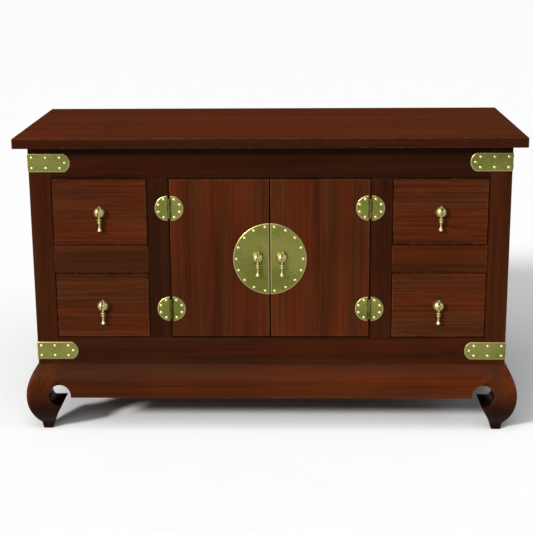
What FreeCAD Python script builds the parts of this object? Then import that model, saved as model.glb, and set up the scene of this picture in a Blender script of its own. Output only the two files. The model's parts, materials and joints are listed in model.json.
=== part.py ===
import FreeCAD, Part
import math
import os

from FreeCAD import Vector

os.makedirs("parts", exist_ok=True)

# A low storage cabinet on bowed legs, with two doors, four drawers and brass fittings.
# Sizes are in millimetres. X runs to the right, Y to the back and Z up, and the origin is on the
# floor under the middle of the cabinet. The front faces -Y. Paired pieces are drawn on the right
# and mirrored to the left.

# Overall sizes
overall_width = 1200.0
overall_depth = 480.0
overall_height = 735.0

# Carcass frame
top_thickness = 24.0
top_overhang = 30.0
top_edge_round = 2.0
base_height = 170.0
post_width = 52.0
rail_thickness = 22.0
top_rail_height = 77.0
bottom_rail_height = 70.0
divider_height = 70.0
mullion_width = 52.0
door_opening_width = 480.0

# Joinery
tenon_length = 20.0
tenon_thickness = 10.0
tenon_shoulder = 10.0
joint_clearance = 0.15
panel_thickness = 10.0
panel_setback = 6.0
groove_depth = 8.0
panel_expansion = 0.5
floor_thickness = 16.0
floor_housing = 4.0
partition_thickness = 15.0
dowel_radius = 5.0
dowel_length = 60.0

# Base: the legs and aprons share one bowed outer line
bow_depth = 29.0
pad_height = 16.0
pad_width = 23.5
pad_taper = 2.5
hoof_rise = 25.0
hoof_inset = 34.0
hoof_tip_inset = 57.0
hook_radius = 27.0
hook_inset = 54.0
hook_height = 97.0
apron_bottom = 92.0
apron_thickness = 22.0
apron_tenon_shoulder = 8.0

# Cupboard
shelf_thickness = 16.0
shelf_side_gap = 0.5
shelf_front_setback = 30.0
cleat_size = 15.0
stop_strip_thickness = 12.0
stop_strip_lip = 16.0
stop_strip_height = 38.0
magnet_radius = 4.0
magnet_depth = 8.0
magnet_offset = 30.0
strike_radius = 5.0
strike_depth = 1.5

# Doors
door_gap = 2.0
meeting_gap = 3.0
door_stop_gap = 0.5

# Face hinges
hinge_inset = 70.0
leaf_radius = 30.5
leaf_thickness = 1.5
leaf_edge_gap = 0.6
barrel_radius = 3.0
barrel_length = 48.0
barrel_clearance = 0.3
knuckle_gap = 0.25
hinge_pin_radius = 1.3
running_clearance = 0.05
leaf_stud_edge = 7.0
leaf_stud_angles = (22.0, 68.0)

# Lock plate
lock_plate_radius = 88.0
lock_plate_thickness = 1.5
lock_stud_edge = 8.0
lock_stud_count = 9
lock_stud_step = 20.5

# Corner straps
strap_length = 99.0
strap_height = 44.0
strap_thickness = 1.5
strap_nose = 14.0
strap_stud_columns = 3
strap_stud_edge = 9.5
strap_stud_tip_edge = 11.5

# Dome-headed studs
stud_radius = 4.0
stud_height = 2.5
stud_shank_radius = 1.2
stud_shank_length = 7.0
stud_hole_spare = 0.5

# Drop pulls
ball_radius = 14.0
ball_standoff = 4.0
slot_width = 5.4
slot_floor = 3.0
pivot_standoff = 9.0
pivot_radius = 1.5
pivot_recess = 1.5
stem_radius = 3.0
stem_clearance = 0.2
nut_across_flats = 10.0
nut_thickness = 4.0
stem_spare = 2.0
eye_radius = 4.0
tongue_clearance = 0.4
tongue_thickness = 5.2
collar_gap = 1.5
collar_thickness = 3.0
collar_radius = 6.2
throat_length = 3.5
throat_radius = 3.2
ring_thickness = 2.5
ring_radius = 6.0
neck_length = 7.0
neck_radius = 2.5
bell_length = 12.0
bell_radius = 6.4
bell_rim = 2.5
door_pull_offset = 29.0
door_pull_rise = 5.0

# Drawers
drawer_gap = 1.5
drawer_front_thickness = 20.0
drawer_side_thickness = 12.0
drawer_lap = 8.0
drawer_headroom = 32.0
drawer_rear_room = 48.0
drawer_bottom_thickness = 5.0
drawer_bottom_rise = 10.0
drawer_groove = 5.0
runner_thickness = 12.0
runner_width = 18.0
guide_thickness = 12.0
guide_height = 25.0
slide_clearance = 0.3
stop_block_depth = 12.0
stop_block_height = 15.0

# Places worked out from the sizes above
half_width = overall_width / 2 - top_overhang
half_depth = overall_depth / 2 - top_overhang
front = -half_depth
rail_back = front + rail_thickness
carcass_top = overall_height - top_thickness
opening_bottom = base_height + bottom_rail_height
opening_top = carcass_top - top_rail_height
post_inner = half_width - post_width
post_rear = front + post_width
door_half = door_opening_width / 2
mullion_outer = door_half + mullion_width
drawer_opening_height = (opening_top - opening_bottom - divider_height) / 2
divider_bottom = opening_bottom + drawer_opening_height
divider_top = divider_bottom + divider_height
floor_top = opening_bottom - runner_thickness
cupboard_middle = (floor_top + opening_top) / 2
panel_back = panel_setback + panel_thickness
door_thickness = rail_thickness - door_stop_gap
door_back = front + door_thickness
door_middle = (opening_bottom + opening_top) / 2
hinge_axis_x = door_half - door_gap / 2
hinge_axis_out = barrel_radius + barrel_clearance
leaf_edge = barrel_radius + leaf_edge_gap
leaf_stud_circle = leaf_radius - leaf_stud_edge
lock_stud_circle = lock_plate_radius - lock_stud_edge
strap_stud_step = (strap_length - strap_nose - 2 * strap_stud_edge) / (strap_stud_columns - 1)
strap_stud_row = strap_height / 2 - strap_stud_edge
drawer_floors = {"lower": opening_bottom, "upper": divider_top}
drawer_side_height = drawer_opening_height - drawer_headroom

ORIGIN = Vector(0, 0, 0)
ACROSS = Vector(1, 0, 0)
BACK = Vector(0, 1, 0)
UP = Vector(0, 0, 1)


# Helpers

def box(x, y, z):
    """A block between the two ends given for each axis."""
    return Part.makeBox(x[1] - x[0], y[1] - y[0], z[1] - z[0], Vector(x[0], y[0], z[0]))


def grown(ranges, gap):
    """The same block, larger by a gap on every side."""
    return [(low - gap, high + gap) for low, high in ranges]


def centred(low, high, size):
    """A stretch of a given size in the middle of another."""
    middle = (low + high) / 2
    return (middle - size / 2, middle + size / 2)


def inset(low, high, margin):
    """A stretch shortened by a margin at both ends."""
    return (low + margin, high - margin)


def cut_all(shape, tools):
    """A shape with every tool taken out of it."""
    return shape.cut(Part.makeCompound(tools))


def fuse_all(shapes):
    """Several touching shapes as one clean solid."""
    return shapes[0].multiFuse(shapes[1:]).removeSplitter().Solids[0]


def to_left(shape):
    return shape.mirror(ORIGIN, ACROSS)


def to_rear(shape):
    return shape.mirror(ORIGIN, BACK)


def pair(shapes):
    """Shapes drawn on the right, with their copies on the left."""
    return list(shapes) + [to_left(shape) for shape in shapes]


def save(node, solids):
    """Write one node, whose solids may be one or many."""
    shape = solids[0] if len(solids) == 1 else Part.makeCompound(solids)
    shape.exportStep(f"parts/{node}.step")


def face_of(edges):
    return Part.Face(Part.Wire(edges))


def line(start, end):
    return Part.makeLine(start, end)


def arc(start, middle, end):
    return Part.Arc(start, middle, end).toShape()


def dome_shoulder(radius, height):
    """The point halfway round a shallow dome: how far out it lies, and how high."""
    sphere = (radius ** 2 + height ** 2) / (2 * height)
    half_angle = math.asin(radius / sphere) / 2
    return sphere * math.sin(half_angle), height - sphere * (1 - math.cos(half_angle))


# Studs: a dome on a short shank, drawn pointing along -Y with the plate's face at y = 0

def stud():
    rim = Vector(stud_radius, 0, 0)
    crown = Vector(0, -stud_height, 0)
    out, rise = dome_shoulder(stud_radius, stud_height)
    profile = [
        arc(rim, Vector(out, -rise, 0), crown),
        line(crown, Vector(0, stud_shank_length, 0)),
        line(Vector(0, stud_shank_length, 0), Vector(stud_shank_radius, stud_shank_length, 0)),
        line(Vector(stud_shank_radius, stud_shank_length, 0), Vector(stud_shank_radius, 0, 0)),
        line(Vector(stud_shank_radius, 0, 0), rim),
    ]
    return face_of(profile).revolve(ORIGIN, BACK, 360).Solids[0]


def stud_hole():
    radius = stud_shank_radius + running_clearance
    depth = stud_shank_length + stud_hole_spare
    start = Vector(0, -depth, 0)
    return Part.makeCylinder(radius, 2 * depth, start, BACK)


def studded(shape, places):
    """Copies of a shape at places on a face that looks along -Y."""
    copies = []
    for place in places:
        copy = shape.copy()
        copy.translate(place)
        copies.append(copy)
    return copies


def onto_side(shape):
    """Turn a front fitting about the cabinet's front right corner onto its right side."""
    turned = shape.copy()
    turned.rotate(Vector(half_width, front, 0), UP, 90)
    return turned.mirror(Vector(half_width, front, 0), BACK)


# Corner straps

def strap_stud_places(height):
    face = front - strap_thickness
    places = []
    for column in range(strap_stud_columns):
        x = half_width - strap_stud_edge - column * strap_stud_step
        for row in (-strap_stud_row, strap_stud_row):
            places.append(Vector(x, face, height + row))
    tip = half_width - strap_length + strap_stud_tip_edge
    places.append(Vector(tip, face, height))
    return places


def strap_leg(height):
    """The front leg of a strap, with its bowed nose pointing inwards."""
    low = height - strap_height / 2
    high = height + strap_height / 2
    outer = half_width + strap_thickness
    shoulder = half_width - strap_length + strap_nose
    nose = half_width - strap_length
    outline = [
        line(Vector(outer, front, low), Vector(outer, front, high)),
        line(Vector(outer, front, high), Vector(shoulder, front, high)),
        arc(Vector(shoulder, front, high), Vector(nose, front, height), Vector(shoulder, front, low)),
        line(Vector(shoulder, front, low), Vector(outer, front, low)),
    ]
    leg = face_of(outline).extrude(Vector(0, -strap_thickness, 0))
    return cut_all(leg, studded(stud_hole(), strap_stud_places(height)))


def side_strap_leg(height):
    """The side leg, cut short where the front leg already turns the corner."""
    leg = onto_side(strap_leg(height))
    rear = front + overall_depth
    return leg.common(box((half_width, half_width + strap_thickness), (front, rear), (0, overall_height)))


strap_heights = [(base_height + opening_bottom) / 2, (opening_top + carcass_top) / 2]
straps = [fuse_all([strap_leg(height), side_strap_leg(height)]) for height in strap_heights]

strap_studs = []
strap_holes = []
for strap_height_middle in strap_heights:
    places = strap_stud_places(strap_height_middle)
    front_studs = studded(stud(), places)
    front_holes = studded(stud_hole(), places)
    strap_studs += front_studs + [onto_side(each) for each in front_studs]
    strap_holes += front_holes + [onto_side(each) for each in front_holes]


# Face hinges, drawn about their axis: the frame's leaf lies at +X and the door's at -X

def hinge_leaf(side, knuckles, bore):
    """A half-moon leaf with its share of the knuckles, the axis upright at the origin."""
    back = hinge_axis_out
    seat = Vector(side * leaf_edge, back - leaf_thickness, 0)
    disc = Part.makeCylinder(leaf_radius, leaf_thickness, seat, BACK)
    reach = leaf_edge + leaf_radius
    keep = sorted((side * leaf_edge, side * reach))
    half_moon = disc.common(box(keep, (back - leaf_thickness, back), (-leaf_radius, leaf_radius)))
    pieces = [cut_all(half_moon, studded(stud_hole(), leaf_stud_places(side)))]
    for low, high in knuckles:
        barrel = Part.makeCylinder(barrel_radius, high - low, Vector(0, 0, low))
        web = box(sorted((0, side * leaf_edge)), (back - leaf_thickness, barrel_radius), (low, high))
        pieces.append(fuse_all([barrel, web]))
    whole = fuse_all(pieces)
    return whole.cut(Part.makeCylinder(bore, 2 * leaf_radius, Vector(0, 0, -leaf_radius)))


def leaf_stud_places(side):
    places = []
    for angle in leaf_stud_angles:
        along = leaf_edge + leaf_stud_circle * math.cos(math.radians(angle))
        rise = leaf_stud_circle * math.sin(math.radians(angle))
        for height in (-rise, rise):
            places.append(Vector(side * along, hinge_axis_out - leaf_thickness, height))
    return places


hinge_heights = [opening_bottom + door_gap + hinge_inset, opening_top - door_gap - hinge_inset]
knuckle = (barrel_length - 2 * knuckle_gap) / 3
middle_knuckle = [(-knuckle / 2, knuckle / 2)]
outer_knuckles = [
    (-barrel_length / 2, -knuckle / 2 - knuckle_gap),
    (knuckle / 2 + knuckle_gap, barrel_length / 2),
]


def at_hinges(shape):
    """Copies of a shape drawn about the hinge axis, one at each hinge of the right door."""
    axis = [Vector(hinge_axis_x, front - hinge_axis_out, height) for height in hinge_heights]
    return studded(shape, axis)


def at_leaf_studs(shape, side):
    return [copy for place in studded(shape, leaf_stud_places(side)) for copy in at_hinges(place)]


frame_leaf = hinge_leaf(1, outer_knuckles, hinge_pin_radius + running_clearance)
door_leaf = hinge_leaf(-1, middle_knuckle, hinge_pin_radius + running_clearance)
hinge_pin = Part.makeCylinder(hinge_pin_radius, barrel_length, Vector(0, 0, -barrel_length / 2))
hinge_holes = at_leaf_studs(stud_hole(), 1)

save("corner_straps", pair(straps))
save("hinge_frame_leaves", pair(at_hinges(frame_leaf)))
save("hinge_pins", pair(at_hinges(hinge_pin)))
save("frame_studs", pair(strap_studs + at_leaf_studs(stud(), 1)))


# Carcass frame: tenons are drawn once, and their mortises are the same blocks grown by a clearance

front_tenon_y = centred(front, rail_back, tenon_thickness)
side_tenon_x = centred(half_width - rail_thickness, half_width, tenon_thickness)
rail_heights = {"bottom": (base_height, opening_bottom), "top": (opening_top, carcass_top)}
floor_heights = (floor_top - floor_thickness, floor_top)


def front_rail_tenon(heights):
    """The right tenon of a rail that lies across the front."""
    x = (post_inner, post_inner + tenon_length)
    return (x, front_tenon_y, inset(*heights, tenon_shoulder))


def side_rail_tenon(heights):
    """The front tenon of the right side rail."""
    y = (post_rear - tenon_length, post_rear)
    return (side_tenon_x, y, inset(*heights, tenon_shoulder))


def mullion_tenons():
    x = inset(door_half, mullion_outer, tenon_shoulder)
    low = (x, front_tenon_y, (opening_bottom - tenon_length, opening_bottom))
    high = (x, front_tenon_y, (opening_top, opening_top + tenon_length))
    return [low, high]


def divider_tenons():
    z = inset(divider_bottom, divider_top, tenon_shoulder)
    outer = ((post_inner, post_inner + tenon_length), front_tenon_y, z)
    inner = ((mullion_outer - tenon_length, mullion_outer), front_tenon_y, z)
    return [outer, inner]


def mortise(ranges):
    """The hole or groove for a block: the same block with a clearance all round."""
    return box(*grown(ranges, joint_clearance))


panel_heights = (opening_bottom - groove_depth, opening_top + groove_depth)
panel_x = (half_width - panel_back, half_width - panel_setback)
panel_reach = half_depth - post_width + groove_depth
side_groove = mortise((panel_x, (-panel_reach, panel_reach), panel_heights))
back_y = (half_depth - panel_back, half_depth - panel_setback)
back_reach = post_inner + groove_depth
back_groove = mortise(((-back_reach, back_reach), back_y, panel_heights))
floor_reach_x = half_width - rail_thickness + floor_housing
floor_reach_y = half_depth - rail_thickness + floor_housing
floor_block = ((-floor_reach_x, floor_reach_x), (-floor_reach_y, floor_reach_y), floor_heights)
floor_groove = mortise(floor_block)


def leg_dowel(clearance):
    middle = half_width - post_width / 2
    low = Vector(middle, front + post_width / 2, base_height - dowel_length / 2 - clearance)
    return Part.makeCylinder(dowel_radius + clearance, dowel_length + 2 * clearance, low)


def corner_post():
    """A post with the joints that every corner has, drawn at the front right."""
    post = box((post_inner, half_width), (front, post_rear), (base_height, carcass_top))
    tools = [side_groove, leg_dowel(joint_clearance)]
    for heights in rail_heights.values():
        tools.append(mortise(front_rail_tenon(heights)))
        tools.append(mortise(side_rail_tenon(heights)))
    return cut_all(post, tools)


front_post = cut_all(corner_post(), [mortise(divider_tenons()[0])] + strap_holes)
rear_post = to_rear(corner_post()).cut(back_groove)
save("corner_posts", pair([front_post, rear_post]))


def front_rail(heights):
    """A rail across the front, with a tenon at each end."""
    bar = box((-post_inner, post_inner), (front, rail_back), heights)
    tenon = box(*front_rail_tenon(heights))
    return fuse_all([bar, tenon, to_left(tenon)])


both_strap_holes = pair(strap_holes)
both_mullion_mortises = pair([mortise(tenon) for tenon in mullion_tenons()])
top_rail = cut_all(front_rail(rail_heights["top"]), both_strap_holes + both_mullion_mortises)
bottom_rail = front_rail(rail_heights["bottom"])
bottom_rail = cut_all(bottom_rail, both_strap_holes + both_mullion_mortises + [floor_groove])
save("front_top_rail", [top_rail])
save("front_bottom_rail", [bottom_rail])

rear_top_rail = to_rear(front_rail(rail_heights["top"])).cut(back_groove)
rear_bottom_rail = cut_all(to_rear(front_rail(rail_heights["bottom"])), [back_groove, floor_groove])
save("rear_rails", [rear_top_rail, rear_bottom_rail])


def side_rail(heights):
    x = (half_width - rail_thickness, half_width)
    bar = box(x, (post_rear, -post_rear), heights)
    tenon = box(*side_rail_tenon(heights))
    whole = fuse_all([bar, tenon, to_rear(tenon)])
    return cut_all(whole, [side_groove, floor_groove] + strap_holes)


save("side_rails", pair([side_rail(heights) for heights in rail_heights.values()]))

mullion = box((door_half, mullion_outer), (front, rail_back), (opening_bottom, opening_top))
mullion = fuse_all([mullion] + [box(*tenon) for tenon in mullion_tenons()])
mullion = cut_all(mullion, [mortise(divider_tenons()[1])] + hinge_holes)
save("front_mullions", pair([mullion]))

divider = box((mullion_outer, post_inner), (front, rail_back), (divider_bottom, divider_top))
divider = fuse_all([divider] + [box(*tenon) for tenon in divider_tenons()])
save("drawer_dividers", pair([divider]))

panel_z = inset(*panel_heights, panel_expansion)
side_panel = box(panel_x, inset(-panel_reach, panel_reach, panel_expansion), panel_z)
save("side_panels", pair([side_panel]))
save("back_panel", [box(inset(-back_reach, back_reach, panel_expansion), back_y, panel_z)])

top_half_x = overall_width / 2
top_half_y = overall_depth / 2
top_board = box((-top_half_x, top_half_x), (-top_half_y, top_half_y), (carcass_top, overall_height))
save("top_board", [top_board.makeFillet(top_edge_round, top_board.Edges)])


# Inside: floor, partitions, shelf and the stop that the doors close on

def cabinet_floor():
    notch_x = (post_inner - joint_clearance, half_width)
    notch_y = (front, post_rear + joint_clearance)
    notch = box(notch_x, notch_y, grown([floor_heights], joint_clearance)[0])
    return cut_all(box(*floor_block), pair([notch, to_rear(notch)]))


save("bottom_board", [cabinet_floor()])

partition_x = (door_half, door_half + partition_thickness)
save("partitions", pair([box(partition_x, (rail_back, -rail_back), (floor_top, carcass_top))]))

shelf_x = inset(-door_half, door_half, shelf_side_gap)
shelf_y = (rail_back + shelf_front_setback, -rail_back)
shelf_z = centred(cupboard_middle, cupboard_middle, shelf_thickness)
save("cupboard_shelf", [box(shelf_x, shelf_y, shelf_z)])
cleat_z = (shelf_z[0] - cleat_size, shelf_z[0])
save("shelf_cleats", pair([box((door_half - cleat_size, door_half), shelf_y, cleat_z)]))

strip_low = opening_top - stop_strip_lip
strip_z = (strip_low, strip_low + stop_strip_height)
strip = box((-door_half, door_half), (rail_back, rail_back + stop_strip_thickness), strip_z)
catch_z = opening_top - stop_strip_lip / 2
magnet_seat = Vector(magnet_offset, rail_back, catch_z)
magnet = Part.makeCylinder(magnet_radius, magnet_depth, magnet_seat, BACK)
save("door_stop_strip", [cut_all(strip, pair([magnet]))])
save("door_magnets", pair([magnet]))


# Base: the bowed line is an arc from the carcass down to the pad under each foot

bow_half = (base_height - pad_height) / 2
bow_radius = (bow_half ** 2 + bow_depth ** 2) / (2 * bow_depth)
bow_middle = pad_height + bow_half


def bow(height):
    """How far inside the carcass's face the bowed line lies at a height."""
    return bow_radius - bow_depth - math.sqrt(bow_radius ** 2 - (height - bow_middle) ** 2)


def leg_outline(at):
    """The sawn outline of a leg. The function given turns an inset and a height into a point."""
    tip_drop = math.sqrt(hook_radius ** 2 - (hoof_tip_inset - hook_inset) ** 2)
    tip = at(hoof_tip_inset, hook_height - tip_drop)
    crown = at(hook_inset, hook_height + hook_radius)
    corners = [
        at(0, pad_height),
        at(pad_taper, 0),
        at(pad_taper + pad_width, 0),
        at(hoof_inset, hoof_rise),
        tip,
    ]
    edges = [arc(at(0, base_height), at(-bow_depth, bow_middle), corners[0])]
    edges += [line(start, end) for start, end in zip(corners, corners[1:])]
    edges.append(arc(tip, at(hook_inset - hook_radius, hook_height), crown))
    edges.append(line(crown, at(hook_inset, base_height)))
    edges.append(line(at(hook_inset, base_height), at(0, base_height)))
    return face_of(edges)


def apron_tenon():
    """The right tenon of the front apron."""
    x = (half_width - hook_inset, half_width - hook_inset + tenon_length)
    y = centred(front, front + apron_thickness, tenon_thickness)
    z = inset(hook_height + hook_radius, base_height, apron_tenon_shoulder)
    return (x, y, z)


def side_apron_tenon():
    """The front tenon of the right apron, the same block turned round the corner."""
    x, y, z = apron_tenon()
    across = (half_width - (y[1] - front), half_width - (y[0] - front))
    along = (front + half_width - x[1], front + half_width - x[0])
    return (across, along, z)


def leg():
    """A leg sawn to the same outline from the front and from the side, at the front right."""
    reach = hoof_tip_inset + 2 * bow_depth
    from_front = leg_outline(lambda inwards, z: Vector(half_width - inwards, front - bow_depth, z))
    from_side = leg_outline(lambda inwards, z: Vector(half_width + bow_depth, front + inwards, z))
    sawn = from_front.extrude(Vector(0, reach, 0)).common(from_side.extrude(Vector(-reach, 0, 0)))
    joints = [mortise(apron_tenon()), mortise(side_apron_tenon()), leg_dowel(joint_clearance)]
    return cut_all(sawn, joints).Solids[0]


front_leg = leg()
save("leg_front_right", [front_leg])
save("leg_front_left", [to_left(front_leg)])
save("leg_rear_right", [to_rear(front_leg)])
save("leg_rear_left", [to_rear(to_left(front_leg))])
dowel = leg_dowel(0)
save("leg_dowels", pair([dowel, to_rear(dowel)]))


def apron_section(at):
    """The apron's cross-section: bowed outside, flat inside."""
    top = at(0, base_height)
    middle = (base_height + apron_bottom) / 2
    edges = [
        arc(top, at(bow(middle), middle), at(bow(apron_bottom), apron_bottom)),
        line(at(bow(apron_bottom), apron_bottom), at(apron_thickness, apron_bottom)),
        line(at(apron_thickness, apron_bottom), at(apron_thickness, base_height)),
        line(at(apron_thickness, base_height), top),
    ]
    return face_of(edges)


def front_apron():
    end = half_width - hook_inset
    section = apron_section(lambda inwards, z: Vector(-end, front + inwards, z))
    tenon = box(*apron_tenon())
    whole = fuse_all([section.extrude(Vector(2 * end, 0, 0)), tenon, to_left(tenon)])
    start = Vector(end, front - 2 * bow_depth, hook_height)
    hook = Part.makeCylinder(hook_radius, 4 * bow_depth, start, BACK)
    return cut_all(whole, pair([hook]))


def right_apron():
    end = half_depth - hook_inset
    section = apron_section(lambda inwards, z: Vector(half_width - inwards, -end, z))
    tenon = box(*side_apron_tenon())
    whole = fuse_all([section.extrude(Vector(0, 2 * end, 0)), tenon, to_rear(tenon)])
    start = Vector(half_width - 2 * bow_depth, -end, hook_height)
    hook = Part.makeCylinder(hook_radius, 4 * bow_depth, start, ACROSS)
    return cut_all(whole, [hook, to_rear(hook)])


save("front_apron", [front_apron()])
save("rear_apron", [to_rear(front_apron())])
save("side_aprons", pair([right_apron()]))


# Drop pulls, drawn about the middle of the ball with the mounting face at y = 0

def pull_mount(wood):
    """The slotted ball on its stem, its cross pin and its nut, for a board of a given thickness."""
    room = 2 * ball_radius
    ball = Part.makeSphere(ball_radius, Vector(0, -ball_standoff, 0))
    ball = ball.common(box((-room, room), (-room, 0), (-room, room)))
    stem_length = wood + nut_thickness + stem_spare + slot_floor
    stem = Part.makeCylinder(stem_radius, stem_length, Vector(0, -slot_floor, 0), BACK)
    body = fuse_all([ball, stem])
    slot = box((-slot_width / 2, slot_width / 2), (-room, -slot_floor), (-room, room))
    half_chord = math.sqrt(ball_radius ** 2 - (pivot_standoff - ball_standoff) ** 2)
    half_pin = half_chord - pivot_recess
    pin_start = Vector(-half_pin, -pivot_standoff, 0)
    pin_hole = Part.makeCylinder(pivot_radius + running_clearance, 2 * half_pin, pin_start, ACROSS)
    pin = Part.makeCylinder(pivot_radius, 2 * half_pin, pin_start, ACROSS)
    return [cut_all(body, [slot, pin_hole]).Solids[0], pin, stem_nut(wood)]


def stem_nut(wood):
    """The six-sided nut that holds a pull from behind the board."""
    corner_radius = nut_across_flats / math.sqrt(3)
    corners = []
    for angle in range(0, 361, 60):
        out = corner_radius * math.cos(math.radians(angle))
        rise = corner_radius * math.sin(math.radians(angle))
        corners.append(Vector(out, wood, rise))
    nut = Part.Face(Part.makePolygon(corners)).extrude(Vector(0, nut_thickness, 0))
    bore_radius = stem_radius + running_clearance
    return nut.cut(Part.makeCylinder(bore_radius, nut_thickness, Vector(0, wood, 0), BACK))


def stem_hole(depth):
    start = Vector(0, -depth, 0)
    return Part.makeCylinder(stem_radius + stem_clearance, 2 * depth, start, BACK)


def drop():
    """A turned drop with a flat tongue, drawn about its pin."""
    def at(radius, below):
        return Vector(radius, 0, -below)

    collar_top = ball_radius + collar_gap
    collar_end = collar_top + collar_thickness
    ring_top = collar_end + throat_length
    ring_end = ring_top + ring_thickness
    neck_end = ring_end + neck_length
    rim = neck_end + bell_length
    tip = rim + bell_rim
    flare = bell_radius / 2
    corners = [
        at(0, collar_top),
        at(collar_radius, collar_top),
        at(collar_radius, collar_end),
        at(throat_radius, collar_end),
        at(throat_radius, ring_top),
        at(ring_radius, ring_top),
        at(ring_radius, ring_end),
        at(neck_radius, ring_end),
        at(neck_radius, neck_end),
    ]
    edges = [line(start, end) for start, end in zip(corners, corners[1:])]
    edges.append(arc(corners[-1], at(flare, (neck_end + rim) / 2), at(bell_radius, rim)))
    out, rise = dome_shoulder(bell_radius, bell_rim)
    edges.append(arc(at(bell_radius, rim), at(out, rim + rise), at(0, tip)))
    edges.append(line(at(0, tip), corners[0]))
    turned = face_of(edges).revolve(ORIGIN, UP, 360).Solids[0]
    half_tongue = slot_width / 2 - tongue_clearance
    tongue_x = (-half_tongue, half_tongue)
    tongue_y = (-tongue_thickness / 2, tongue_thickness / 2)
    tongue = box(tongue_x, tongue_y, (-collar_top, 0))
    eye_start = Vector(-half_tongue, 0, 0)
    eye = Part.makeCylinder(eye_radius, 2 * half_tongue, eye_start, ACROSS)
    bore = Part.makeCylinder(pivot_radius + running_clearance, 2 * half_tongue, eye_start, ACROSS)
    return turned.fuse(fuse_all([tongue, eye]).cut(bore)).Solids[0]


def save_pull(name, place, wood, mirror):
    """Write a pull's mount and drop at a place on a face, on the right or mirrored to the left."""
    pivot = place + Vector(0, -pivot_standoff, 0)
    mount = [studded(piece, [place])[0] for piece in pull_mount(wood)]
    hanging = studded(drop(), [pivot])[0]
    save(f"{name}_pull_mount", [mirror(piece) for piece in mount])
    save(f"{name}_drop", [mirror(hanging)])


def unchanged(shape):
    return shape


sides = {"right": unchanged, "left": to_left}


# Doors

lock_middle = Vector(0, front - lock_plate_thickness, door_middle)
lock_stud_places = []
for step in range(lock_stud_count):
    angle = math.radians((step - (lock_stud_count - 1) / 2) * lock_stud_step)
    spot = Vector(lock_stud_circle * math.cos(angle), 0, lock_stud_circle * math.sin(angle))
    lock_stud_places.append(lock_middle + spot)
lock_studs = studded(stud(), lock_stud_places)
lock_holes = studded(stud_hole(), lock_stud_places)

door_pull_place = lock_middle + Vector(door_pull_offset, 0, door_pull_rise)
door_stem_hole = studded(stem_hole(rail_thickness * 2), [door_pull_place])[0]
strike_seat = Vector(magnet_offset, door_back - strike_depth, catch_z)
strike = Part.makeCylinder(strike_radius, strike_depth, strike_seat, BACK)


def door_panel():
    x = (meeting_gap / 2, door_half - door_gap)
    board = box(x, (front, door_back), inset(opening_bottom, opening_top, door_gap))
    return cut_all(board, lock_holes + at_leaf_studs(stud_hole(), -1) + [door_stem_hole, strike])


def lock_plate():
    disc = Part.makeCylinder(lock_plate_radius, lock_plate_thickness, lock_middle, BACK)
    height = (door_middle - lock_plate_radius, door_middle + lock_plate_radius)
    half = disc.common(box((meeting_gap / 2, lock_plate_radius), (lock_middle.y, front), height))
    return cut_all(half, lock_holes + [door_stem_hole])


for side, mirror in sides.items():
    name = f"{side}_door"
    save(f"{name}_panel", [mirror(door_panel())])
    save(f"{name}_hinge_leaves", [mirror(leaf) for leaf in at_hinges(door_leaf)])
    save(f"{name}_lock_plate", [mirror(lock_plate())])
    save(f"{name}_studs", [mirror(each) for each in lock_studs + at_leaf_studs(stud(), -1)])
    save(f"{name}_strike", [mirror(strike)])
    save_pull(name, door_pull_place, door_thickness + lock_plate_thickness, mirror)


# Drawers and what they run on

drawer_x = inset(mullion_outer, post_inner, drawer_gap)
drawer_inside_x = inset(*drawer_x, drawer_side_thickness)
drawer_front_back = front + drawer_front_thickness
drawer_end = -rail_back - drawer_rear_room


def drawer_side(bottom):
    """The drawer's outer side board, on the right."""
    y = (drawer_front_back - drawer_lap, drawer_end)
    z = (bottom + slide_clearance, bottom + drawer_side_height)
    return box((drawer_inside_x[1], drawer_x[1]), y, z)


def drawer_bottom_block(bottom):
    x = inset(*drawer_inside_x, -drawer_groove)
    y = (drawer_front_back - drawer_groove, drawer_end)
    z = (bottom + drawer_bottom_rise, bottom + drawer_bottom_rise + drawer_bottom_thickness)
    return (x, y, z)


def across_drawer(shape):
    """The copy of a shape at the other side of the same drawer."""
    middle = Vector((drawer_x[0] + drawer_x[1]) / 2, 0, 0)
    return shape.mirror(middle, ACROSS)


def drawer_front(bottom, pull_place):
    z = inset(bottom, bottom + drawer_opening_height, drawer_gap)
    board = box(drawer_x, (front, drawer_front_back), z)
    lap_x = (drawer_inside_x[1] - joint_clearance, drawer_x[1] + joint_clearance)
    lap_y = (drawer_front_back - drawer_lap - joint_clearance, drawer_front_back)
    lap = box(lap_x, lap_y, (bottom, bottom + drawer_side_height + joint_clearance))
    bottom_groove = mortise(drawer_bottom_block(bottom))
    hole = studded(stem_hole(drawer_front_thickness * 2), [pull_place])[0]
    return cut_all(board, [lap, across_drawer(lap), bottom_groove, hole])


def drawer_box(bottom):
    """Two sides, the back that stands on the bottom, and the bottom in its grooves."""
    bottom_block = drawer_bottom_block(bottom)
    side = drawer_side(bottom).cut(mortise(bottom_block))
    back_z = (bottom_block[2][1], bottom + drawer_side_height)
    back = box(drawer_inside_x, (drawer_end - drawer_side_thickness, drawer_end), back_z)
    return [side, across_drawer(side), back, box(*bottom_block)]


def runner_pair(bottom):
    """The runners under a drawer's two sides, each with the guide that keeps it straight."""
    shelf = (bottom - runner_thickness, bottom)
    upright = (bottom - runner_thickness, bottom + guide_height)
    length = (rail_back, -rail_back)
    outer = box((post_inner - runner_width, post_inner), length, shelf)
    outer_guide = box((post_inner, post_inner + guide_thickness), (post_rear, -post_rear), upright)
    inner = box((mullion_outer, mullion_outer + runner_width), length, shelf)
    inner_guide = box((door_half + partition_thickness, mullion_outer), length, upright)
    return [fuse_all([outer, outer_guide]), fuse_all([inner, inner_guide])]


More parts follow.
